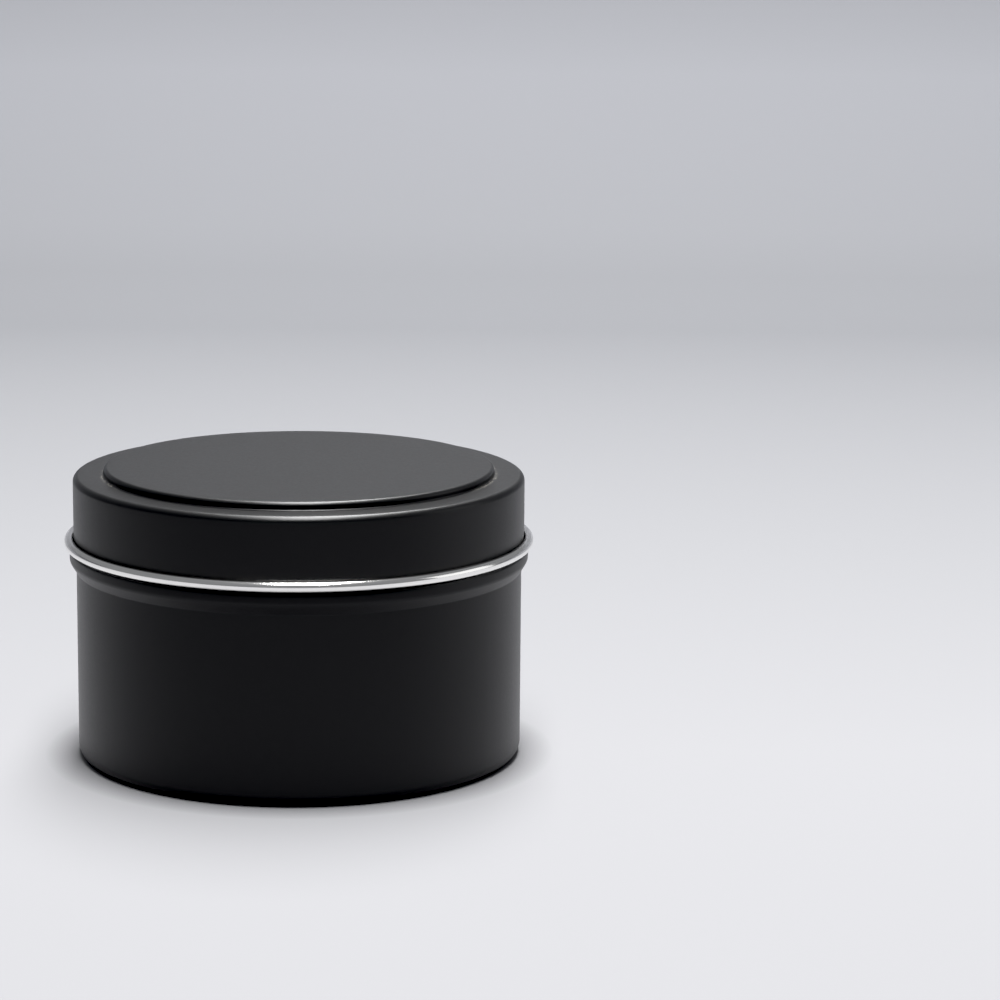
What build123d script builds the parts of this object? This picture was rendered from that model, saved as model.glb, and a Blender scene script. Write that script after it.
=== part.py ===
from build123d import *
from math import cos, radians, sin, sqrt, tan
import os

# Round slip-lid candle tin: a one-piece drawn body and a one-piece stamped lid.
#
# Millimetres, +Z up.  The origin is the centre of the circle that the standing ring
# rests on, and Z is the axis of both pieces.  Each piece is one sheet of tinplate:
# its outer face is drawn as a half section to the right of the axis, given the
# thickness of the sheet on its inner side, and turned once about Z.

# Overall sizes
overall_height = 50.70
wall_radius = 38.55
lid_depth = 13.85

# Sheet
body_sheet = 0.25
lid_sheet = 0.25

# Base of the body: a narrow ring to stand on, and a panel raised inside it
base_corner_radius = 2.20
standing_ring_width = 0.35
base_slope_angle = 34.0
base_slope_foot_radius = 0.80
base_recess_depth = 2.20
base_panel_edge_radius = 0.40

# Stop bead: the shoulder round the body that the lid's rolled edge comes down to.
# Under its round crest, its face leans out to a knee, its widest line, and its flank slopes
# back in to a crease in the wall.
stop_bead_projection = 1.15
stop_bead_crest_radius = 0.80
stop_bead_face_height = 1.00
stop_bead_face_lean = 3.0
stop_bead_knee_radius = 1.30
stop_bead_flank_angle = 31.4
stop_bead_crease_radius = 0.50

# Neck that stands up inside the lid, and its rim, rolled inwards
neck_step = 0.20
neck_foot_radius = 0.35
rim_curl_radius = 0.75
rim_curl_turn = 305.0

# Lid: raised panel, shoulder, skirt, and lower edge, rolled outwards
panel_step_height = 1.40
panel_edge_radius = 0.70
panel_foot_radius = 0.30
shoulder_radius = 1.05
skirt_curl_radius = 0.94
skirt_curl_end_angle = 126.0

# Clearances between the two pieces, and between one tin and the next in a stack
slip_clearance = 0.40
rim_clearance = 0.15
rest_clearance = 0.19
stack_inset = 2.27

# Radii of the body
neck_radius = wall_radius - neck_step
ring_outer_radius = wall_radius - base_corner_radius
ring_inner_radius = ring_outer_radius - standing_ring_width
slope_foot_x = ring_inner_radius - base_slope_foot_radius * tan(radians(base_slope_angle / 2))
base_panel_radius = slope_foot_x - base_recess_depth / tan(radians(base_slope_angle))

# Radii and heights of the lid, which slips over the neck
skirt_inner_radius = neck_radius + slip_clearance
skirt_radius = skirt_inner_radius + lid_sheet
raised_panel_radius = ring_inner_radius - stack_inset
shoulder_height = overall_height - panel_step_height
skirt_curl_x = skirt_inner_radius + skirt_curl_radius
skirt_curl_z = overall_height - lid_depth + skirt_curl_radius

# Heights of the body that follow from where the lid sits
rim_height = shoulder_height - lid_sheet - rim_clearance
knee_centre_x = wall_radius + stop_bead_projection - stop_bead_knee_radius
face_lean = radians(stop_bead_face_lean)
crest_shift = stop_bead_knee_radius - stop_bead_crest_radius - stop_bead_face_height * sin(face_lean)
crest_centre_x = knee_centre_x + crest_shift / cos(face_lean)
crest_reach = skirt_curl_radius + stop_bead_crest_radius + rest_clearance
crest_z = skirt_curl_z - sqrt(crest_reach**2 - (skirt_curl_x - crest_centre_x) ** 2)
shelf_z = crest_z + stop_bead_crest_radius
knee_z = crest_z - stop_bead_face_height


def line(start, end):
    """Return the straight edge from one point to another."""
    return Line(start, end).edge()


def arc(centre, radius, start_angle, turn):
    """Return the arc of a circle from a start angle through a signed turn, in degrees."""
    return CenterArc(centre, radius, start_angle, turn).edge()


def beside(edge, share, distance):
    """Return the point at a share of an edge's length, moved a distance to its left."""
    along = edge % share
    return edge @ share + Vector(-along.Y, along.X) * distance


def parallel_edge(edge, distance):
    """Return the line or arc that runs a distance to the left of an edge."""
    start, middle, end = [beside(edge, share, distance) for share in (0, 0.5, 1)]
    if edge.geom_type == GeomType.LINE:
        return Edge.make_line(start, end)
    return Edge.make_three_point_arc(start, middle, end)


def turned_sheet(outer_edges, inward):
    """Turn a sheet about Z: its outer face, and its inner face that far to the left."""
    inner_edges = [parallel_edge(edge, inward) for edge in outer_edges]
    on_axis = Edge.make_line(outer_edges[0] @ 0, inner_edges[0] @ 0)
    cut_edge = Edge.make_line(outer_edges[-1] @ 1, inner_edges[-1] @ 1)
    section = make_face([*outer_edges, *inner_edges, on_axis, cut_edge])
    return revolve(Plane.XZ * section, axis=Axis.Z, revolution_arc=360)


def base_edges():
    """Return the underside of the body, from the axis out and up to the foot of the wall."""
    corners = [
        (0, base_recess_depth),
        (base_panel_radius, base_recess_depth),
        (slope_foot_x, 0),
        (ring_outer_radius, 0),
    ]
    radii = [base_panel_edge_radius, base_slope_foot_radius]
    corner_centre = (ring_outer_radius, base_corner_radius)
    return [*FilletPolyline(*corners, radius=radii).edges(), arc(corner_centre, base_corner_radius, -90, 90)]


def wall_and_stop_bead_edges():
    """Return the wall and the stop bead, up to the foot of the neck."""
    crease = stop_bead_crease_radius
    knee = stop_bead_knee_radius
    flank_angle = stop_bead_flank_angle
    flank_out = Vector(cos(radians(flank_angle)), -sin(radians(flank_angle)))
    face_out = Vector(cos(face_lean), sin(face_lean))
    knee_centre = Vector(knee_centre_x, knee_z)
    crest_centre = Vector(crest_centre_x, crest_z)
    flank_top = knee_centre + flank_out * knee
    flank_run = flank_top.X - wall_radius - crease * (1 - flank_out.X)
    flank_foot = flank_top + Vector(-flank_run, flank_run * flank_out.X / flank_out.Y)
    crease_centre = flank_foot + flank_out * crease
    neck_foot = (neck_radius + neck_foot_radius, shelf_z + neck_foot_radius)
    return [
        line((wall_radius, base_corner_radius), (wall_radius, crease_centre.Y)),
        arc(crease_centre, crease, 180, -flank_angle),
        line(flank_foot, flank_top),
        arc(knee_centre, knee, -flank_angle, flank_angle + stop_bead_face_lean),
        line(knee_centre + face_out * knee, crest_centre + face_out * stop_bead_crest_radius),
        arc(crest_centre, stop_bead_crest_radius, stop_bead_face_lean, 90 - stop_bead_face_lean),
        line((crest_centre_x, shelf_z), (neck_foot[0], shelf_z)),
        arc(neck_foot, neck_foot_radius, -90, -90),
    ]


def neck_and_rim_edges():
    """Return the neck and the rim, rolled inwards at its top."""
    rim_centre = (neck_radius - rim_curl_radius, rim_height - rim_curl_radius)
    return [
        line((neck_radius, shelf_z + neck_foot_radius), (neck_radius, rim_centre[1])),
        arc(rim_centre, rim_curl_radius, 0, rim_curl_turn),
    ]


def make_tin_body():
    """Make the drawn body, open at the top, with its outer face below and outside."""
    outer_edges = [*base_edges(), *wall_and_stop_bead_edges(), *neck_and_rim_edges()]
    return turned_sheet(outer_edges, body_sheet)


def make_lid():
    """Make the stamped lid, seated on the body, with its outer face above and outside."""
    corners = [
        (0, overall_height),
        (raised_panel_radius, overall_height),
        (raised_panel_radius, shoulder_height),
        (skirt_radius, shoulder_height),
        (skirt_radius, skirt_curl_z),
    ]
    radii = [panel_edge_radius, panel_foot_radius, shoulder_radius]
    top_and_skirt = FilletPolyline(*corners, radius=radii).edges()
    curl_centre = (skirt_curl_x, skirt_curl_z)
    curl = arc(curl_centre, skirt_curl_radius - lid_sheet, 180, 180 + skirt_curl_end_angle)
    return turned_sheet([*top_and_skirt, curl], -lid_sheet)


os.makedirs("parts", exist_ok=True)

for node, piece in {"tin_body": make_tin_body(), "lid": make_lid()}.items():
    piece.label = node
    export_step(piece, f"parts/{node}.step")
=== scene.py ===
import logging
import math
from dataclasses import dataclass, field
from enum import Enum
from typing import Any, Sequence

import bpy
from mathutils import Matrix, Vector


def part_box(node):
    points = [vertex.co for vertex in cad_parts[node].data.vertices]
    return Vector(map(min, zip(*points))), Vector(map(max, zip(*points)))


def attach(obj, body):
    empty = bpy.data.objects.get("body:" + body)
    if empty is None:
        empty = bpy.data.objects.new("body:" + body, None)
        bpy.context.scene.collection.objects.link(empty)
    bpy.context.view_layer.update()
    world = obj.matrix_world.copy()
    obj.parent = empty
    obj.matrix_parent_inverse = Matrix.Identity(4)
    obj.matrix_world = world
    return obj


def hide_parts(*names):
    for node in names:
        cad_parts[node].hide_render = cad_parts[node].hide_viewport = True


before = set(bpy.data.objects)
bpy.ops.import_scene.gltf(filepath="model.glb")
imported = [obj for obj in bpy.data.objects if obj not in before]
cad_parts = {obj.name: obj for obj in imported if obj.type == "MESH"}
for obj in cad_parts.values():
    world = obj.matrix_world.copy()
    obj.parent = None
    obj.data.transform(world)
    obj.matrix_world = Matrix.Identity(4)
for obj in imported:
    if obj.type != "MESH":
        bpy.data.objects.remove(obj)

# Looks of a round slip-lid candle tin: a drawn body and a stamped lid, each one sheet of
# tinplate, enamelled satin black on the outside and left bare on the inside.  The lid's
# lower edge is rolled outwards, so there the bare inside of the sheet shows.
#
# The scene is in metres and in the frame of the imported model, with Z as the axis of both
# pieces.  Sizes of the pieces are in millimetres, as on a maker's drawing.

MM = 0.001
FULL_TURN = 2 * math.pi
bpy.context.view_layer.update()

log = logging.getLogger("candle_tin")


def linear(hex_colour: str) -> tuple[float, float, float, float]:
    """Turn an sRGB hex colour into the linear colour that shaders take.

    Args:
        hex_colour: Six hex digits, such as "e8e6e1".

    Returns:
        Red, green, blue and an alpha of 1.
    """
    channels = [int(hex_colour[i : i + 2], 16) / 255 for i in (0, 2, 4)]
    red, green, blue = [c / 12.92 if c <= 0.04045 else ((c + 0.055) / 1.055) ** 2.4 for c in channels]
    return red, green, blue, 1.0


def add_node(
    tree: bpy.types.NodeTree,
    kind: str,
    inputs: dict[Any, Any] | None = None,
    output: Any = 0,
    **settings: Any,
) -> bpy.types.NodeSocket | None:
    """Add a node with its settings, and link or set its inputs.

    Args:
        tree: The shader or geometry tree that gets the node.
        kind: The node's type, such as "ShaderNodeMath".
        inputs: For each input, by name or number, an output socket to link or a value to set.
        output: The output to return, by name or number.
        settings: Properties of the node, such as operation="ADD".

    Returns:
        The output socket, or None for a node that has no outputs.
    """
    node = tree.nodes.new(kind)
    for name, value in settings.items():
        setattr(node, name, value)
    for key, value in (inputs or {}).items():
        socket = node.inputs[key]
        if isinstance(value, bpy.types.NodeSocket):
            tree.links.new(value, socket)
        else:
            socket.default_value = value
    return node.outputs[output] if node.outputs else None


# ---------------------------------------------------------------- sections of the sheet


class MetalSide(Enum):
    """Side of the walk along the enamelled face that the metal lies on."""

    LEFT = 1
    RIGHT = -1


@dataclass
class SheetSection:
    """Half section of a sheet: its enamelled face, walked from the axis out to the cut edge.

    Every line and arc meets the next one smoothly, so the bare face is the same walk
    shifted sideways by the thickness of the sheet.

    Attributes:
        sheet: Thickness of the sheet.
        metal_side: Side of the walk that the metal lies on.
        edge_round: Radius left on both corners of the cut edge.
        steps: Points of the walk, each a radius, a height and a heading in radians.
    """

    sheet: float
    metal_side: MetalSide
    edge_round: float = 0.05
    steps: list[tuple[float, float, float]] = field(default_factory=list)

    def line(self, start: tuple[float, float], end: tuple[float, float], parts: int = 1) -> None:
        """Walk a straight run.

        Args:
            start: Radius and height where it starts.
            end: Radius and height where it ends.
            parts: Number of equal parts it is drawn in.
        """
        heading = math.atan2(end[1] - start[1], end[0] - start[0])
        for i in range(parts + 1):
            share = i / parts
            radius = start[0] + (end[0] - start[0]) * share
            height = start[1] + (end[1] - start[1]) * share
            self._step(radius, height, heading)

    def arc(self, centre: tuple[float, float], radius: float, start: float, turn: float, parts: int) -> None:
        """Walk an arc of a circle.

        Args:
            centre: Radius and height of the circle's centre.
            radius: The circle's own radius.
            start: Angle where the arc starts, in degrees.
            turn: Angle that it turns through, in degrees, and positive to the left.
            parts: Number of equal parts it is drawn in.
        """
        for i in range(parts + 1):
            angle = math.radians(start + turn * i / parts)
            x = centre[0] + radius * math.cos(angle)
            z = centre[1] + radius * math.sin(angle)
            self._step(x, z, angle + math.copysign(math.pi / 2, turn))

    def cornered_run(
        self,
        corners: Sequence[tuple[float, float]],
        radii: Sequence[float],
        line_parts: Sequence[int],
        arc_parts: int,
    ) -> None:
        """Walk straight runs with a rounded corner between each two.

        Args:
            corners: Ends of the runs, as radius and height.
            radii: Radius of each rounded corner.
            line_parts: Number of parts that each run is drawn in.
            arc_parts: Number of parts that each rounded corner is drawn in.
        """
        start = Vector(corners[0])
        for i, radius in enumerate(radii):
            corner = Vector(corners[i + 1])
            before = (corner - Vector(corners[i])).normalized()
            after = (Vector(corners[i + 2]) - corner).normalized()
            turn = math.atan2(before.x * after.y - before.y * after.x, before.dot(after))
            reach = radius * math.tan(abs(turn) / 2)
            side = Vector((-before.y, before.x)) * math.copysign(radius, turn)
            tangent = corner - before * reach
            centre = tangent + side
            first = math.degrees(math.atan2(-side.y, -side.x))
            self.line(tuple(start), tuple(tangent), line_parts[i])
            self.arc(tuple(centre), radius, first, math.degrees(turn), arc_parts)
            start = corner + after * reach
        self.line(tuple(start), corners[-1], line_parts[-1])

    def _step(self, radius: float, height: float, heading: float) -> None:
        """Add a point, unless the walk already stands there."""
        if self.steps and math.hypot(radius - self.steps[-1][0], height - self.steps[-1][1]) < 1e-6:
            return
        self.steps.append((radius, height, heading))

    def outline(self) -> tuple[list[tuple[float, float]], list[bool]]:
        """Close the section round the cut edge and back along the bare face.

        Returns:
            The points, with the metal to their left, and for each whether the strip that
            starts there is bare metal.
        """
        side = self.metal_side.value
        enamel = [(r, z) for r, z, _ in self.steps]
        bare = [
            (r - side * self.sheet * math.sin(h), z + side * self.sheet * math.cos(h))
            for r, z, h in self.steps
        ]
        bare[0] = (0.0, bare[0][1])
        heading = self.steps[-1][2]
        along = Vector((math.cos(heading), math.sin(heading)))
        across = (Vector(bare[-1]) - Vector(enamel[-1])).normalized()
        corners = []
        for tip, inward in ((Vector(enamel.pop()), across), (Vector(bare.pop()), -across)):
            centre = tip + (inward - along) * self.edge_round
            middle = centre + (along - inward).normalized() * self.edge_round
            corners.append([centre - inward * self.edge_round, middle, centre + along * self.edge_round])
        cut = [tuple(p) for p in (*corners[0], *reversed(corners[1]))]
        points = [*enamel, *cut, *reversed(bare)]
        is_bare = [i >= len(enamel) + 1 for i in range(len(points))]
        if self.metal_side is MetalSide.RIGHT:
            points.reverse()
            is_bare = [*reversed(is_bare[:-1]), False]
        return points, is_bare


# ---------------------------------------------------------------- finishes


@dataclass(frozen=True)
class Finish:
    """What every finish has: a name, and a shader tree that ends in one Principled BSDF."""

    name: str

    def material(self) -> bpy.types.Material:
        """Make the material, or return it if it is already made."""
        made = bpy.data.materials.get(self.name)
        if made is not None:
            return made
        material = bpy.data.materials.new(self.name)
        material.use_nodes = True
        tree = material.node_tree
        tree.nodes.clear()
        surface = add_node(tree, "ShaderNodeBsdfPrincipled", self.dress(tree), output="BSDF")
        add_node(tree, "ShaderNodeOutputMaterial", {"Surface": surface})
        return material

    def dress(self, tree: bpy.types.NodeTree) -> dict[str, Any]:
        """Lay out the patterns and return the shader's inputs; each finish does this its own way."""
        raise NotImplementedError

    @staticmethod
    def section_place(tree: bpy.types.NodeTree, place: bpy.types.NodeSocket) -> bpy.types.NodeSocket:
        """Return each point's place in the half section: distance from the axis, 0 and height.

        Args:
            tree: The tree that gets the nodes.
            place: Object coordinates.

        Returns:
            The place, as a vector in metres.
        """
        across = add_node(tree, "ShaderNodeVectorMath", {0: place, 1: (1.0, 1.0, 0.0)}, operation="MULTIPLY")
        radius = add_node(tree, "ShaderNodeVectorMath", {0: across}, output="Value", operation="LENGTH")
        height = add_node(tree, "ShaderNodeSeparateXYZ", {0: place}, output="Z")
        return add_node(tree, "ShaderNodeCombineXYZ", {"X": radius, "Z": height})


@dataclass(frozen=True)
class SatinBakedEnamel(Finish):
    """Satin black baked enamel, rolled on tinplate before the sheet is stamped.

    To the eye: a deep neutral black that barely reflects when seen square on, turns grey
    at a grazing angle, and draws soft-edged highlights along every rounded edge.  Stamping
    stretches the sheet most in the tight crease round the lid's panel, across the way the
    sheet was rolled, so the enamel is chafed there; tables rub the standing ring.
    """

    name: str = "satin_black_baked_enamel"
    colour: str = "070708"
    mottle_colour: str = "0a0a0b"
    rubbed_colour: str = "8a867e"
    roughness: tuple[float, float] = (0.36, 0.39)
    mottle_range: tuple[float, float] = (0.3, 0.7)
    rubbed_roughness: float = 0.55
    specular_level: float = 0.36
    mottle_size: float = 0.5
    grain_size: float = 0.32
    grain_height: float = 0.0042
    peel_size: float = 2.2
    peel_height: float = 0.0020
    crease_radius: float = 34.05
    crease_height: float = 49.30
    crease_reach: float = 0.45
    crease_core: float = 0.12
    crease_side: tuple[float, float] = (0.86, 0.99)
    fleck_size: float = 0.26
    fleck_range: tuple[float, float] = (0.47, 0.66)
    smear_size: float = 1.3
    smear_range: tuple[float, float] = (0.42, 0.62)
    ring_rub_height: float = 0.035
    ring_rub_share: tuple[float, float] = (0.15, 0.8)

    def dress(self, tree: bpy.types.NodeTree) -> dict[str, Any]:
        """Lay out the enamel: mottle, satin grain, orange peel and rubbed places."""
        place = add_node(tree, "ShaderNodeTexCoord", output="Object")
        rubbed = self.rubbed(tree, place)
        spots = {"Vector": place, "Scale": 1 / (self.mottle_size * MM), "Detail": 3.0}
        mottle = add_node(tree, "ShaderNodeTexNoise", spots)
        blacks = {0: mottle, 6: linear(self.colour), 7: linear(self.mottle_colour)}
        black = add_node(tree, "ShaderNodeMix", blacks, output=2, data_type="RGBA")
        worn = {0: rubbed, 6: black, 7: linear(self.rubbed_colour)}
        (low, high), (smooth, rough) = self.mottle_range, self.roughness
        sheen = {0: mottle, 1: low, 2: high, 3: smooth, 4: rough}
        satin = add_node(tree, "ShaderNodeMapRange", sheen)
        return {
            "Base Color": add_node(tree, "ShaderNodeMix", worn, output=2, data_type="RGBA"),
            "Roughness": add_node(tree, "ShaderNodeMix", {0: rubbed, 2: satin, 3: self.rubbed_roughness}),
            "Specular IOR Level": self.specular_level,
            "Normal": self.relief(tree, place),
        }

    def relief(self, tree: bpy.types.NodeTree, place: bpy.types.NodeSocket) -> bpy.types.NodeSocket:
        """Return the surface's normal, with satin grain over a long, low orange peel.

        The grain is drawn about three times as coarse as the real one, so that it shows.

        Args:
            tree: The tree that gets the nodes.
            place: Object coordinates.

        Returns:
            The normal.
        """
        waves = {"Vector": place, "Scale": 1 / (self.peel_size * MM), "Detail": 1.0}
        peel = add_node(tree, "ShaderNodeTexNoise", waves)
        waved = add_node(tree, "ShaderNodeBump", {"Height": peel, "Distance": self.peel_height * MM})
        points = {"Vector": place, "Scale": 1 / (self.grain_size * MM), "Detail": 2.0, "Roughness": 0.6}
        grain = add_node(tree, "ShaderNodeTexNoise", points)
        satin = {"Height": grain, "Distance": self.grain_height * MM, "Normal": waved}
        return add_node(tree, "ShaderNodeBump", satin)

    def rubbed(self, tree: bpy.types.NodeTree, place: bpy.types.NodeSocket) -> bpy.types.NodeSocket:
        """Return how far the enamel is chafed, from 0 to 1.

        It is chafed at two opposite sides of the crease round the panel, and under the ring.

        Args:
            tree: The tree that gets the nodes.
            place: Object coordinates.

        Returns:
            The share.
        """
        axes = add_node(tree, "ShaderNodeSeparateXYZ", {0: place}).node.outputs
        section = self.section_place(tree, place)
        crease = (self.crease_radius * MM, 0.0, self.crease_height * MM)
        distance = {0: section, 1: crease}
        off_crease = add_node(tree, "ShaderNodeVectorMath", distance, output="Value", operation="DISTANCE")
        reach = {0: off_crease, 1: self.crease_reach * MM, 2: self.crease_core * MM}
        near = add_node(tree, "ShaderNodeMapRange", reach)
        sideways = add_node(tree, "ShaderNodeMath", {0: axes["X"]}, operation="ABSOLUTE")
        sides = {0: sideways, 1: self.crease_side[0] * crease[0], 2: self.crease_side[1] * crease[0]}
        side = add_node(tree, "ShaderNodeMapRange", sides)
        specks = {"Vector": place, "Scale": 1 / (self.fleck_size * MM), "Detail": 2.0}
        speckle = add_node(tree, "ShaderNodeTexNoise", specks)
        flecks = {0: speckle, 1: self.fleck_range[0], 2: self.fleck_range[1]}
        fleck = add_node(tree, "ShaderNodeMapRange", flecks)
        blots = {"Vector": place, "Scale": 1 / (self.smear_size * MM), "Detail": 2.0}
        blotch = add_node(tree, "ShaderNodeTexNoise", blots)
        smears = {0: blotch, 1: self.smear_range[0], 2: self.smear_range[1]}
        smear = add_node(tree, "ShaderNodeMapRange", smears)
        at_side = add_node(tree, "ShaderNodeMath", {0: near, 1: side}, operation="MULTIPLY")
        patchy = add_node(tree, "ShaderNodeMath", {0: at_side, 1: smear}, operation="MULTIPLY")
        chafed = add_node(tree, "ShaderNodeMath", {0: patchy, 1: fleck}, operation="MULTIPLY")
        under = {0: axes["Z"], 1: self.ring_rub_height * MM, 2: 0.0}
        under_ring = add_node(tree, "ShaderNodeMapRange", under)
        scratching = {0: fleck, 3: self.ring_rub_share[0], 4: self.ring_rub_share[1]}
        scratches = add_node(tree, "ShaderNodeMapRange", scratching)
        ring = add_node(tree, "ShaderNodeMath", {0: under_ring, 1: scratches}, operation="MULTIPLY")
        return add_node(tree, "ShaderNodeMath", {0: chafed, 1: ring}, operation="MAXIMUM", use_clamp=True)


@dataclass(frozen=True)
class BrightTinplate(Finish):
    """Bright cold-rolled tinplate: low-carbon steel sheet with a flow-melted coat of tin.

    To the eye: a slightly warm silver, softly blurred.  Straight rolling lines cross the
    flat discs, and where tools drew or curled the sheet, fine lines run round it.
    """

    name: str = "bright_cold_rolled_tinplate"
    colour: str = "fbfaf8"
    dull_colour: str = "eeedea"
    roughness: tuple[float, float] = (0.11, 0.18)
    blotch_size: float = 7.0
    blotch_share: float = 0.6
    blotch_range: tuple[float, float] = (0.45, 1.15)
    rolling_pitch: float = 0.22
    rolling_length: float = 14.0
    drawing_pitch: float = 0.16
    line_height: float = 0.0005
    flat_from: float = 0.96

    def dress(self, tree: bpy.types.NodeTree) -> dict[str, Any]:
        """Lay out the metal: blotches in the tin coat, rolling lines and drawing lines."""
        place = add_node(tree, "ShaderNodeTexCoord", output="Object")
        lines = self.lines(tree, place)
        spots = {"Vector": place, "Scale": 1 / (self.blotch_size * MM), "Detail": 4.0}
        blotches = add_node(tree, "ShaderNodeTexNoise", spots)
        together = {0: blotches, 1: self.blotch_share, 2: lines}
        uneven = add_node(tree, "ShaderNodeMath", together, operation="MULTIPLY_ADD")
        dulling = {0: uneven, 1: self.blotch_range[0], 2: self.blotch_range[1]}
        dullness = add_node(tree, "ShaderNodeMapRange", dulling)
        coat = {0: dullness, 6: linear(self.colour), 7: linear(self.dull_colour)}
        blur = {0: dullness, 3: self.roughness[0], 4: self.roughness[1]}
        return {
            "Base Color": add_node(tree, "ShaderNodeMix", coat, output=2, data_type="RGBA"),
            "Metallic": 1.0,
            "Roughness": add_node(tree, "ShaderNodeMapRange", blur),
            "Normal": add_node(tree, "ShaderNodeBump", {"Height": lines, "Distance": self.line_height * MM}),
        }

    def lines(self, tree: bpy.types.NodeTree, place: bpy.types.NodeSocket) -> bpy.types.NodeSocket:
        """Return the line pattern: straight on flat discs, and round the axis elsewhere.

        Both are drawn about twice as coarse as real ones, so that they show.

        Args:
            tree: The tree that gets the nodes.
            place: Object coordinates.

        Returns:
            The pattern, from 0 to 1.
        """
        stretch = {0: place, 1: (self.rolling_pitch / self.rolling_length, 1.0, 1.0)}
        straight = add_node(tree, "ShaderNodeVectorMath", stretch, operation="MULTIPLY")
        rolling = {"Vector": straight, "Scale": 1 / (self.rolling_pitch * MM)}
        rolled = add_node(tree, "ShaderNodeTexNoise", rolling)
        drawing = {"Vector": self.section_place(tree, place), "Scale": 1 / (self.drawing_pitch * MM)}
        drawn = add_node(tree, "ShaderNodeTexNoise", drawing)
        normal = add_node(tree, "ShaderNodeNewGeometry", output="Normal")
        height = add_node(tree, "ShaderNodeSeparateXYZ", {0: normal}, output="Z")
        upright = add_node(tree, "ShaderNodeMath", {0: height}, operation="ABSOLUTE")
        flatness = {0: upright, 1: self.flat_from, 2: 1.0}
        flat = add_node(tree, "ShaderNodeMapRange", flatness, interpolation_type="SMOOTHSTEP")
        return add_node(tree, "ShaderNodeMix", {0: flat, 2: drawn, 3: rolled})


@dataclass(frozen=True)
class MattPaper(Finish):
    """Matt background paper, with painted light: in front it glows on its own, though it is no lamp.

    To the eye: pale and even, a little greyer where it bends, with soft shadows and no gloss.
    Its glowing is painted fill light that fades towards the back, and a ring round the tin's base
    is left without it, which is a painted contact shadow.
    """

    name: str = "matt_paper_painted_light"
    near_colour: str = "6f6f71"
    far_painted_falloff_colour: str = "6d6e71"
    wall_painted_light_colour: str = "7e7f83"
    painted_falloff_depth: tuple[float, float] = (0.0, 0.5)
    painted_light_rise: tuple[float, float] = (0.01, 0.07)
    painted_glow: float = 0.26
    painted_glow_colour: str = "fbfbff"
    painted_shadow_radii: tuple[float, float] = (0.0375, 0.0445)
    roughness: float = 0.95
    specular_level: float = 0.2

    def dress(self, tree: bpy.types.NodeTree) -> dict[str, Any]:
        """Lay out the paper: its tone fades along the floor and up the wall, and its own light fades back;
        both are painted light.
        """
        place = add_node(tree, "ShaderNodeTexCoord", output="Object")
        axes = add_node(tree, "ShaderNodeSeparateXYZ", {0: place}).node.outputs
        # Painted light falloff: the floor's tone turns a shade darker towards the back.
        away = {0: axes["Y"], 1: self.painted_falloff_depth[0], 2: self.painted_falloff_depth[1]}
        depth = add_node(tree, "ShaderNodeMapRange", away)
        tones = {0: depth, 6: linear(self.near_colour), 7: linear(self.far_painted_falloff_colour)}
        floor = add_node(tree, "ShaderNodeMix", tones, output=2, data_type="RGBA")
        # Painted light: the paper is painted lighter up the wall.
        upward = {0: axes["Z"], 1: self.painted_light_rise[0], 2: self.painted_light_rise[1]}
        height = add_node(tree, "ShaderNodeMapRange", upward)
        paper = {0: height, 6: floor, 7: linear(self.wall_painted_light_colour)}
        off_axis = add_node(tree, "ShaderNodeVectorMath", {0: place}, output="Value", operation="LENGTH")
        # Painted contact shadow: no light is given off in a ring round the tin's base.
        clear = {0: off_axis, 1: self.painted_shadow_radii[0], 2: self.painted_shadow_radii[1], 3: 0.0, 4: self.painted_glow}
        glow_beside_painted_shadow = add_node(tree, "ShaderNodeMapRange", clear)
        # Painted light: the paper's own light fades out towards the back.
        painted_glow_fade = {0: depth, 3: glow_beside_painted_shadow, 4: 0.0}
        return {
            "Base Color": add_node(tree, "ShaderNodeMix", paper, output=2, data_type="RGBA"),
            "Roughness": self.roughness,
            "Specular IOR Level": self.specular_level,
            "Emission Color": linear(self.painted_glow_colour),
            "Emission Strength": add_node(tree, "ShaderNodeMapRange", painted_glow_fade),
        }


# ---------------------------------------------------------------- turning a section


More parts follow.
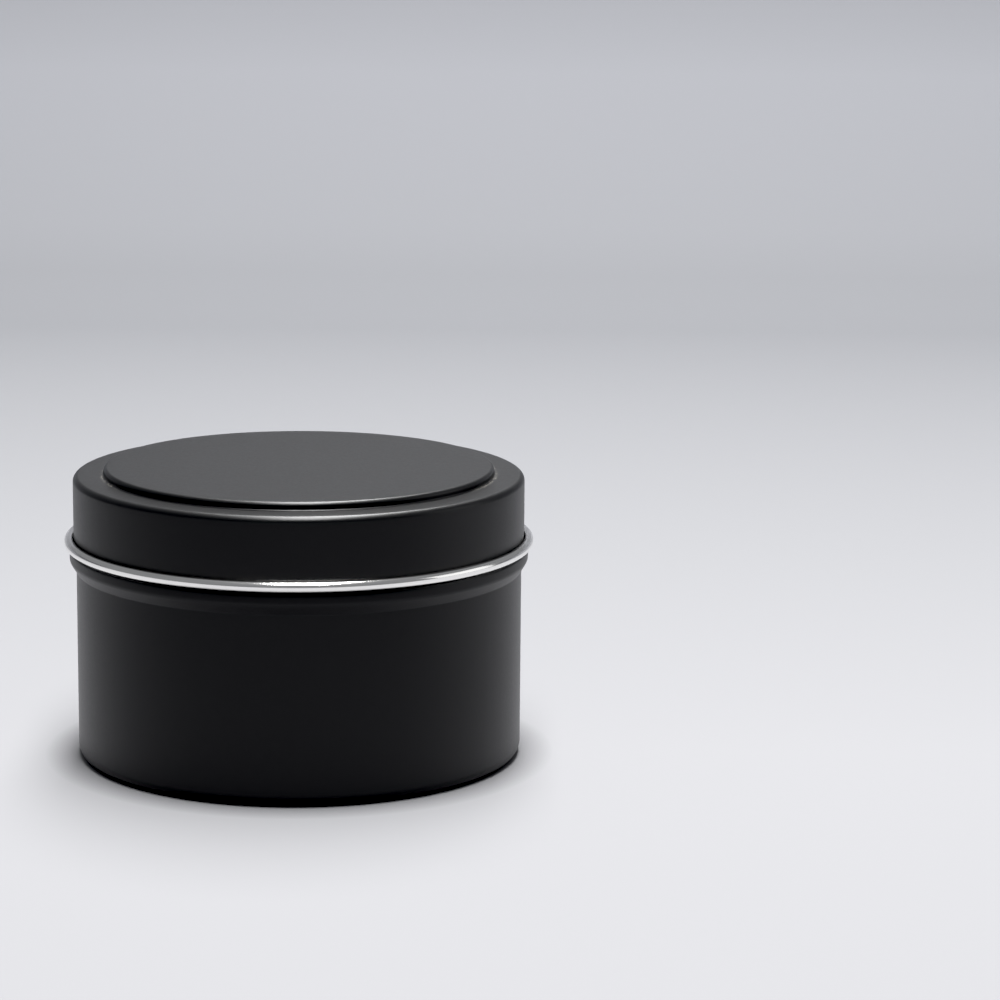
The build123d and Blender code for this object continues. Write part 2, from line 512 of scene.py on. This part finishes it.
class Lathe:
    """Geometry Nodes tree that turns a section round Z into a closed shell."""

    SEGMENTS = "Segments"
    WELD = "Weld Distance"
    CREASE = "Sharp Angle"
    ENAMEL = "Enamel"
    METAL = "Bare Metal"
    STORE = "GeometryNodeStoreNamedAttribute"

    def __init__(self) -> None:
        """Build the tree once, for every piece that is turned on it."""
        self.tree = bpy.data.node_groups.new("sheet_lathe", "GeometryNodeTree")
        interface = self.tree.interface
        interface.new_socket("Geometry", in_out="INPUT", socket_type="NodeSocketGeometry")
        interface.new_socket("Geometry", in_out="OUTPUT", socket_type="NodeSocketGeometry")
        kinds = {
            self.SEGMENTS: "NodeSocketInt",
            self.WELD: "NodeSocketFloat",
            self.CREASE: "NodeSocketFloat",
            self.ENAMEL: "NodeSocketMaterial",
            self.METAL: "NodeSocketMaterial",
        }
        self.identifiers = {
            name: interface.new_socket(name, in_out="INPUT", socket_type=kind).identifier
            for name, kind in kinds.items()
        }
        self._build()

    def _build(self) -> None:
        """Lay out the tree: wrap a grid of columns and rows round Z, weld it and dress it."""
        tree = self.tree
        given = add_node(tree, "NodeGroupInput").node.outputs
        section = given["Geometry"]
        rows = add_node(tree, "GeometryNodeAttributeDomainSize", {0: section}, output="Point Count")
        columns = add_node(tree, "ShaderNodeMath", {0: given[self.SEGMENTS], 1: 1.0}, operation="ADD")
        counts = {"Vertices X": columns, "Vertices Y": rows}
        grid = add_node(tree, "GeometryNodeMeshGrid", counts, output="Mesh")

        index = add_node(tree, "GeometryNodeInputIndex")
        row = add_node(tree, "ShaderNodeMath", {0: index, 1: rows}, operation="MODULO")
        place = add_node(tree, "ShaderNodeMath", {0: index, 1: rows}, operation="DIVIDE")
        column = add_node(tree, "ShaderNodeMath", {0: place}, operation="FLOOR")
        turn = add_node(tree, "ShaderNodeMath", {0: column, 1: given[self.SEGMENTS]}, operation="DIVIDE")
        angle = add_node(tree, "ShaderNodeMath", {0: turn, 1: FULL_TURN}, operation="MULTIPLY")
        position = add_node(tree, "GeometryNodeInputPosition")
        at_row = {"Geometry": section, "Value": position, "Index": row}
        drawn = add_node(tree, "GeometryNodeSampleIndex", at_row, data_type="FLOAT_VECTOR")
        turning = {"Vector": drawn, "Axis": (0.0, 0.0, 1.0), "Angle": angle}
        wrapped = add_node(tree, "ShaderNodeVectorRotate", turning, rotation_type="AXIS_ANGLE")
        shell = add_node(tree, "GeometryNodeSetPosition", {"Geometry": grid, "Position": wrapped})

        length = add_node(tree, "GeometryNodeInputNamedAttribute", {"Name": "length"}, data_type="FLOAT")
        at_row = {"Geometry": section, "Value": length, "Index": row}
        along = add_node(tree, "GeometryNodeSampleIndex", at_row, data_type="FLOAT")
        unrolled = add_node(tree, "ShaderNodeCombineXYZ", {"X": turn, "Y": along})
        mapping = {"Geometry": shell, "Name": "UVMap", "Value": unrolled}
        mapped = add_node(tree, self.STORE, mapping, data_type="FLOAT2", domain="CORNER")

        strips = add_node(tree, "ShaderNodeMath", {0: rows, 1: 1.0}, operation="SUBTRACT")
        strip = add_node(tree, "ShaderNodeMath", {0: index, 1: strips}, operation="MODULO")
        is_bare = add_node(tree, "GeometryNodeInputNamedAttribute", {"Name": "bare"}, data_type="BOOLEAN")
        at_strip = {"Geometry": section, "Value": is_bare, "Index": strip}
        strip_bare = add_node(tree, "GeometryNodeSampleIndex", at_strip, data_type="BOOLEAN")
        marking = {"Geometry": mapped, "Name": "bare", "Value": strip_bare}
        marked = add_node(tree, self.STORE, marking, data_type="BOOLEAN", domain="FACE")

        welding = {"Geometry": marked, "Distance": given[self.WELD]}
        welded = add_node(tree, "GeometryNodeMergeByDistance", welding)
        bend = add_node(tree, "GeometryNodeInputMeshEdgeAngle")
        bends = {0: bend, 1: given[self.CREASE]}
        sharp = add_node(tree, "FunctionNodeCompare", bends, operation="GREATER_THAN")
        creasing = {"Geometry": welded, "Name": "sharp_edge", "Value": sharp}
        creased = add_node(tree, self.STORE, creasing, data_type="BOOLEAN", domain="EDGE")
        smooth = add_node(tree, "GeometryNodeSetShadeSmooth", {"Geometry": creased})

        real = add_node(tree, "GeometryNodeRealizeInstances", {0: smooth})
        coating = {"Geometry": real, "Material": given[self.ENAMEL]}
        coated = add_node(tree, "GeometryNodeSetMaterial", coating)
        marks = add_node(tree, "GeometryNodeInputNamedAttribute", {"Name": "bare"}, data_type="BOOLEAN")
        baring = {"Geometry": coated, "Selection": marks, "Material": given[self.METAL]}
        add_node(tree, "NodeGroupOutput", {0: add_node(tree, "GeometryNodeSetMaterial", baring)})

    def turn(self, name: str, section: SheetSection, settings: dict[str, Any]) -> bpy.types.Object:
        """Turn a section into a finished mesh object at the origin.

        Args:
            name: The piece's name.
            section: The sheet's half section.
            settings: A value for each of the tree's inputs.

        Returns:
            The object, with a plain mesh and no modifier.
        """
        points, is_bare = section.outline()
        blank = bpy.data.meshes.new(f"{name}_section")
        blank.from_pydata([(r * MM, 0.0, z * MM) for r, z in points], [], [])
        lengths = [0.0]
        for here, there in zip(points, points[1:]):
            lengths.append(lengths[-1] + math.dist(here, there) * MM)
        blank.attributes.new("length", "FLOAT", "POINT").data.foreach_set("value", lengths)
        blank.attributes.new("bare", "BOOLEAN", "POINT").data.foreach_set("value", is_bare)
        piece = bpy.data.objects.new(name, blank)
        bpy.context.scene.collection.objects.link(piece)
        modifier = piece.modifiers.new("lathe", "NODES")
        modifier.node_group = self.tree
        for title, value in settings.items():
            modifier[self.identifiers[title]] = value
        graph = bpy.context.evaluated_depsgraph_get()
        turned = bpy.data.meshes.new_from_object(piece.evaluated_get(graph))
        piece.modifiers.remove(modifier)
        piece.data = turned
        turned.name = name
        bpy.data.meshes.remove(blank)
        return piece


# ---------------------------------------------------------------- the two pieces


@dataclass
class TurnedPiece:
    """A piece made of one sheet: what the body and the lid have in common.

    Attributes:
        sheet: Thickness of the sheet.
        segments: Number of facets round the axis.
        weld_distance: Distance within which points become one, at the seam and on the axis.
        sharp_angle: Bend, in degrees, past which an edge is shaded as sharp.
    """

    sheet: float = 0.25
    segments: int = 320
    weld_distance: float = 0.002
    sharp_angle: float = 50.0

    name = ""
    node = ""
    body = ""

    def section(self) -> SheetSection:
        """Return the sheet's half section; each piece draws its own."""
        raise NotImplementedError

    def build(self, lathe: Lathe, enamel: Finish, metal: Finish) -> bpy.types.Object:
        """Turn the piece, dress it and hang it on its body in the frame.

        Args:
            lathe: The tree that turns sections.
            enamel: Finish of the outside.
            metal: Finish of the inside and the cut edge.

        Returns:
            The finished object.
        """
        settings = {
            Lathe.SEGMENTS: self.segments,
            Lathe.WELD: self.weld_distance * MM,
            Lathe.CREASE: math.radians(self.sharp_angle),
            Lathe.ENAMEL: enamel.material(),
            Lathe.METAL: metal.material(),
        }
        piece = lathe.turn(self.name, self.section(), settings)
        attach(piece, self.body)
        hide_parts(self.node)
        log.info("%s: %d faces on body %s", self.name, len(piece.data.polygons), self.body)
        return piece


@dataclass
class Lid(TurnedPiece):
    """The stamped lid: raised panel, shoulder, skirt, and lower edge rolled outwards.

    Attributes:
        top: Height of the raised panel, from the frame.
        bottom: Height of the rolled edge's lowest line, from the frame.
        reach: Radius of the rolled edge's outermost line, from the frame.
    """

    top: float = 0.0
    bottom: float = 0.0
    reach: float = 0.0
    panel_radius: float = 33.73
    panel_step_height: float = 1.40
    panel_edge_radius: float = 0.70
    panel_foot_radius: float = 0.30
    shoulder_radius: float = 1.05
    skirt_curl_radius: float = 0.94
    skirt_curl_end_angle: float = 126.0

    name = "lid_shell"
    node = "lid"
    body = "lid"

    @classmethod
    def from_frame(cls) -> "Lid":
        """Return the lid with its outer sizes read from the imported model."""
        low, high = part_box("lid")
        return cls(top=high.z / MM, bottom=low.z / MM, reach=high.x / MM)

    @property
    def curl_centre(self) -> tuple[float, float]:
        """Radius and height of the centre of the rolled edge."""
        return self.reach - self.skirt_curl_radius, self.bottom + self.skirt_curl_radius

    def section(self) -> SheetSection:
        """Draw the lid from the middle of its panel out and down to the rolled edge."""
        curl_x, curl_z = self.curl_centre
        skirt_radius = curl_x - self.skirt_curl_radius + self.sheet
        shoulder = self.top - self.panel_step_height
        section = SheetSection(self.sheet, MetalSide.RIGHT)
        section.cornered_run(
            corners=[
                (0.0, self.top),
                (self.panel_radius, self.top),
                (self.panel_radius, shoulder),
                (skirt_radius, shoulder),
                (skirt_radius, curl_z),
            ],
            radii=[self.panel_edge_radius, self.panel_foot_radius, self.shoulder_radius],
            line_parts=[14, 1, 4, 10],
            arc_parts=14,
        )
        inner = self.skirt_curl_radius - self.sheet
        section.arc((curl_x, curl_z), inner, 180.0, 180.0 + self.skirt_curl_end_angle, parts=48)
        return section


@dataclass
class TinBody(TurnedPiece):
    """The drawn body: recessed base, wall, stop bead, neck, and rim rolled inwards.

    Attributes:
        reach: Radius of the stop bead's widest line, from the frame.
        rim_height: Height of the rolled rim, from the frame.
        lid_curl: Radius and height of the centre of the lid's rolled edge.
        lid_curl_radius: Radius of the lid's rolled edge.
    """

    reach: float = 0.0
    rim_height: float = 0.0
    lid_curl: tuple[float, float] = (0.0, 0.0)
    lid_curl_radius: float = 0.0
    base_corner_radius: float = 2.20
    standing_ring_width: float = 0.35
    base_slope_angle: float = 34.0
    base_slope_foot_radius: float = 0.80
    base_recess_depth: float = 2.20
    base_panel_edge_radius: float = 0.40
    stop_bead_projection: float = 1.15
    stop_bead_crest_radius: float = 0.80
    stop_bead_face_height: float = 1.00
    stop_bead_face_lean: float = 3.0
    stop_bead_knee_radius: float = 1.30
    stop_bead_flank_angle: float = 31.4
    stop_bead_crease_radius: float = 0.50
    neck_step: float = 0.20
    neck_foot_radius: float = 0.35
    rim_curl_radius: float = 0.75
    rim_curl_turn: float = 305.0
    rest_clearance: float = 0.19

    name = "tin_body_shell"
    node = "tin_body"
    body = "tin_body"

    @classmethod
    def under(cls, lid: Lid) -> "TinBody":
        """Return the body that a lid sits on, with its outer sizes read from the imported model."""
        low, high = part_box("tin_body")
        return cls(
            reach=high.x / MM,
            rim_height=high.z / MM,
            lid_curl=lid.curl_centre,
            lid_curl_radius=lid.skirt_curl_radius,
        )

    @property
    def wall_radius(self) -> float:
        """Radius of the wall below the stop bead."""
        return self.reach - self.stop_bead_projection

    @property
    def crest_centre(self) -> tuple[float, float]:
        """Radius and height of the centre of the stop bead's crest, close under the rolled edge."""
        lean = math.radians(self.stop_bead_face_lean)
        knee_x = self.reach - self.stop_bead_knee_radius
        shift = self.stop_bead_knee_radius - self.stop_bead_crest_radius
        x = knee_x + (shift - self.stop_bead_face_height * math.sin(lean)) / math.cos(lean)
        apart = self.lid_curl_radius + self.stop_bead_crest_radius + self.rest_clearance
        return x, self.lid_curl[1] - math.sqrt(apart**2 - (self.lid_curl[0] - x) ** 2)

    def section(self) -> SheetSection:
        """Draw the body from the middle of its base out, up the wall, and over the rim."""
        section = SheetSection(self.sheet, MetalSide.LEFT)
        self._walk_base(section)
        self._walk_wall_and_stop_bead(section)
        self._walk_neck_and_rim(section)
        return section

    def _walk_base(self, section: SheetSection) -> None:
        """Walk the underside: recessed panel, slope, standing ring and round corner."""
        ring_outer = self.wall_radius - self.base_corner_radius
        ring_inner = ring_outer - self.standing_ring_width
        slope = math.radians(self.base_slope_angle)
        slope_foot = ring_inner - self.base_slope_foot_radius * math.tan(slope / 2)
        panel_radius = slope_foot - self.base_recess_depth / math.tan(slope)
        section.cornered_run(
            corners=[
                (0.0, self.base_recess_depth),
                (panel_radius, self.base_recess_depth),
                (slope_foot, 0.0),
                (ring_outer, 0.0),
            ],
            radii=[self.base_panel_edge_radius, self.base_slope_foot_radius],
            line_parts=[10, 4, 1],
            arc_parts=8,
        )
        section.arc((ring_outer, self.base_corner_radius), self.base_corner_radius, -90.0, 90.0, parts=20)

    def _walk_wall_and_stop_bead(self, section: SheetSection) -> None:
        """Walk the wall, then the stop bead: crease, flank, knee, face and crest."""
        crest_x, crest_z = self.crest_centre
        crest, knee = self.stop_bead_crest_radius, self.stop_bead_knee_radius
        crease = self.stop_bead_crease_radius
        flank_angle, lean = self.stop_bead_flank_angle, self.stop_bead_face_lean
        flank_out = Vector((math.cos(math.radians(flank_angle)), -math.sin(math.radians(flank_angle))))
        face_out = Vector((math.cos(math.radians(lean)), math.sin(math.radians(lean))))
        crest_centre = Vector((crest_x, crest_z))
        knee_centre = Vector((self.reach - knee, crest_z - self.stop_bead_face_height))
        flank_top = knee_centre + flank_out * knee
        flank_run = flank_top.x - self.wall_radius - crease * (1 - flank_out.x)
        flank_foot = flank_top + Vector((-flank_run, flank_run * flank_out.x / flank_out.y))
        crease_centre = flank_foot + flank_out * crease
        wall_foot = (self.wall_radius, self.base_corner_radius)
        section.line(wall_foot, (self.wall_radius, crease_centre.y), parts=8)
        section.arc(tuple(crease_centre), crease, 180.0, -flank_angle, parts=8)
        section.line(tuple(flank_foot), tuple(flank_top), parts=4)
        section.arc(tuple(knee_centre), knee, -flank_angle, flank_angle + lean, parts=10)
        section.line(tuple(knee_centre + face_out * knee), tuple(crest_centre + face_out * crest), parts=2)
        section.arc((crest_x, crest_z), crest, lean, 90.0 - lean, parts=12)

    def _walk_neck_and_rim(self, section: SheetSection) -> None:
        """Walk the neck that stands inside the lid, and the rim rolled inwards at its top."""
        crest_x, crest_z = self.crest_centre
        neck = self.wall_radius - self.neck_step
        shelf = crest_z + self.stop_bead_crest_radius
        foot = self.neck_foot_radius
        curl = self.rim_curl_radius
        curl_z = self.rim_height - curl
        section.line((crest_x, shelf), (neck + foot, shelf))
        section.arc((neck + foot, shelf + foot), foot, -90.0, -90.0, parts=8)
        section.line((neck, shelf + foot), (neck, curl_z), parts=6)
        section.arc((neck - curl, curl_z), curl, 0.0, self.rim_curl_turn, parts=32)


# ---------------------------------------------------------------- the studio


@dataclass
class Sweep:
    """Background paper: a floor that curves up into a wall behind the tin, in metres."""

    width: float = 5.0
    front: float = -1.6
    bend_start: float = 0.50
    bend_radius: float = 0.16
    height: float = 0.24
    bend_steps: int = 24

    def build(self, paper: Finish) -> bpy.types.Object:
        """Make the sweep."""
        section = [(self.front, 0.0), (self.bend_start, 0.0)]
        for i in range(1, self.bend_steps + 1):
            angle = math.pi / 2 * i / self.bend_steps
            y = self.bend_start + self.bend_radius * math.sin(angle)
            section.append((y, self.bend_radius * (1 - math.cos(angle))))
        section.append((self.bend_start + self.bend_radius, self.height))
        half = self.width / 2
        points = [(side * half, y, z) for y, z in section for side in (-1, 1)]
        faces = [(2 * i, 2 * i + 1, 2 * i + 3, 2 * i + 2) for i in range(len(section) - 1)]
        mesh = bpy.data.meshes.new("background_sweep")
        mesh.from_pydata(points, [], faces)
        mesh.shade_smooth()
        mesh.materials.append(paper.material())
        sweep = bpy.data.objects.new("background_sweep", mesh)
        bpy.context.scene.collection.objects.link(sweep)
        return sweep


@dataclass(frozen=True)
class Softbox:
    """A soft rectangular light, in metres, turned to face a point.

    Attributes:
        name: Name of the light.
        place: Where its middle is.
        target: The point that it faces.
        size: Its width and its length.
        brightness: Light given off by its face, in watts per steradian and square metre.
        colour: Colour of its light.
    """

    name: str
    place: tuple[float, float, float]
    target: tuple[float, float, float]
    size: tuple[float, float]
    brightness: float
    colour: str = "ffffff"

    def build(self) -> bpy.types.Object:
        """Make the light."""
        light = bpy.data.lights.new(self.name, "AREA")
        light.shape = "RECTANGLE"
        light.size, light.size_y = self.size
        light.energy = self.brightness * math.pi * self.size[0] * self.size[1]
        light.color = linear(self.colour)[:3]
        lamp = bpy.data.objects.new(self.name, light)
        bpy.context.scene.collection.objects.link(lamp)
        facing = (Vector(self.target) - Vector(self.place)).to_track_quat("-Z", "Y")
        lamp.matrix_world = Matrix.Translation(self.place) @ facing.to_matrix().to_4x4()
        return lamp


@dataclass(frozen=True)
class Viewpoint:
    """The camera: where it stands, in metres, and how it is turned, in degrees."""

    place: tuple[float, float, float] = (0.03475, -0.60925, 0.16537)
    tilt_down: float = 11.2
    roll: float = 0.48
    lens: float = 129.0

    def build(self) -> bpy.types.Object:
        """Make the camera and hand it to the scene."""
        data = bpy.data.cameras.new("camera")
        data.lens = self.lens
        data.clip_start, data.clip_end = 0.01, 20.0
        camera = bpy.data.objects.new("camera", data)
        bpy.context.scene.collection.objects.link(camera)
        aim = Matrix.Rotation(math.radians(90 - self.tilt_down), 4, "X")
        level = Matrix.Rotation(math.radians(self.roll), 4, "Z")
        camera.matrix_world = Matrix.Translation(self.place) @ aim @ level
        bpy.context.scene.camera = camera
        return camera


@dataclass
class Studio:
    """The stage round the tin: paper sweep, softboxes, dim room and camera."""

    room_colour: str = "d6d8dc"
    room_brightness: float = 0.34
    black_level: float = 0.014
    sweep: Sweep = field(default_factory=Sweep)
    viewpoint: Viewpoint = field(default_factory=Viewpoint)
    softboxes: tuple[Softbox, ...] = (
        Softbox("overhead_softbox", (0.058, 0.11, 1.0), (0.058, 0.11, 0.0), (0.31, 1.65), 27.5),
        Softbox("right_fill", (1.1, 0.0, 0.35), (0.0, 0.0, 0.05), (0.8, 0.7), 0.8),
    )

    def build(self) -> None:
        """Make everything on the stage."""
        self.viewpoint.build()
        self.sweep.build(MattPaper())
        for softbox in self.softboxes:
            softbox.build()
        scene = bpy.context.scene
        world = bpy.data.worlds.new("dim_room")
        world.use_nodes = True
        world.node_tree.nodes["Background"].inputs["Color"].default_value = linear(self.room_colour)
        world.node_tree.nodes["Background"].inputs["Strength"].default_value = self.room_brightness
        scene.world = world
        scene.view_settings.view_transform = "Standard"
        scene.view_settings.use_curve_mapping = True
        scene.view_settings.curve_mapping.black_level = (self.black_level,) * 3
        scene.view_settings.curve_mapping.update()
        log.info("studio: %d softboxes", len(self.softboxes))


def main() -> None:
    """Build the studio, then the lid and the body."""
    logging.basicConfig(level=logging.INFO, format="%(name)s: %(message)s")
    Studio().build()
    lathe = Lathe()
    enamel = SatinBakedEnamel()
    metal = BrightTinplate()
    lid = Lid.from_frame()
    lid.build(lathe, enamel, metal)
    TinBody.under(lid).build(lathe, enamel, metal)


if __name__ == "__main__":
    main()
